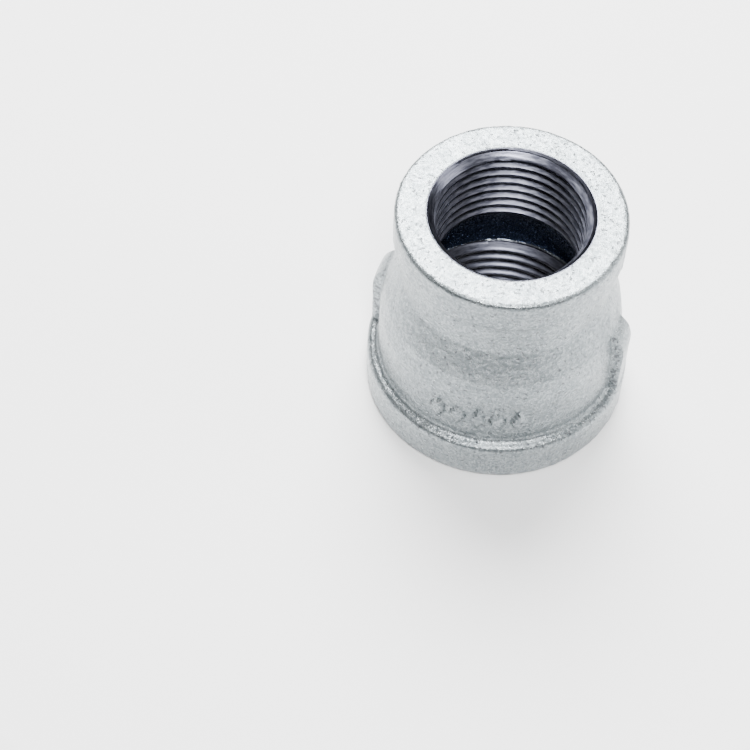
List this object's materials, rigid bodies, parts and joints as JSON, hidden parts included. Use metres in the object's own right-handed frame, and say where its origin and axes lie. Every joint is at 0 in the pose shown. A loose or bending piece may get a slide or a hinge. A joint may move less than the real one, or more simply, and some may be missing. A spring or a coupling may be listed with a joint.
{
  "type": "concentric reducer",
  "caption": "Reducing pipe coupling: a one-piece galvanised casting with an internally threaded socket at each end, banded rims, a tapering shoulder and two side ribs.",
  "frame": {"origin": "centre of the large end face, which the fitting stands on", "axes": "+Z along the flow axis from the large socket to the small socket; the ribs point 18 degrees below +X and opposite"},
  "size_m": [0.0448, 0.0448, 0.0429],
  "materials": {
    "galvanised_iron": "hot-dip galvanised cast skin, dull silver-grey and finely pebbled; machined threads darker"
  },
  "bodies": {
    "root": {"reducer_body": "galvanised_iron"}
  },
  "joints": []
}
